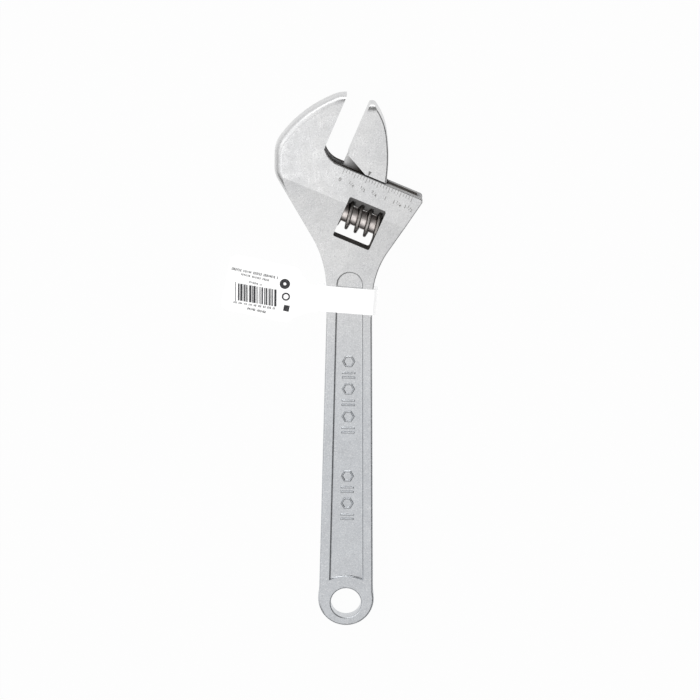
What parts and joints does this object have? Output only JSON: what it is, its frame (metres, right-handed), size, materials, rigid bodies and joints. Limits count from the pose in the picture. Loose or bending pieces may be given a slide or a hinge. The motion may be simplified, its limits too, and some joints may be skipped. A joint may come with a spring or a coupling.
{
  "type": "adjustable wrench",
  "caption": "Adjustable open-end wrench: a forged handle with fixed jaw, a sliding jaw moved by a worm on a pin, a hanging hole and a folded film label.",
  "frame": {"origin": "centre of the hanging hole, halfway through the handle's thickness", "axes": "+Y along the handle towards the jaws, +X towards the movable jaw's side, +Z out of the upper face as the wrench lies flat"},
  "size_m": [0.1039, 0.2846, 0.016],
  "materials": {
    "forged_steel": "satin nickel-chrome plate over a forged, blasted surface",
    "dark_steel": "oiled dark steel",
    "spring_steel": "drawn wire",
    "label_film": "white printed film"
  },
  "bodies": {
    "frame": {"body": "forged_steel", "worm_pin": "dark_steel", "worm_spring": "spring_steel", "hang_label": "label_film"},
    "jaw": {"movable_jaw": "forged_steel"},
    "worm": {"worm": "dark_steel"}
  },
  "joints": [
    {"name": "jaw_slide", "type": "slide", "parent": "frame", "child": "jaw", "axis": [0.9239, -0.3827, 0], "range_m": [-0.0126, 0.0233]},
    {"name": "worm_turn", "type": "hinge", "parent": "frame", "child": "worm", "pos_m": [0.00513, 0.20628, 0], "axis": [0.9239, -0.3827, 0], "range_deg": [-1640, 890]}
  ],
  "couplings": [
    {"joint": "worm_turn", "follows": "jaw_slide", "rad_per_m": -1220}
  ]
}
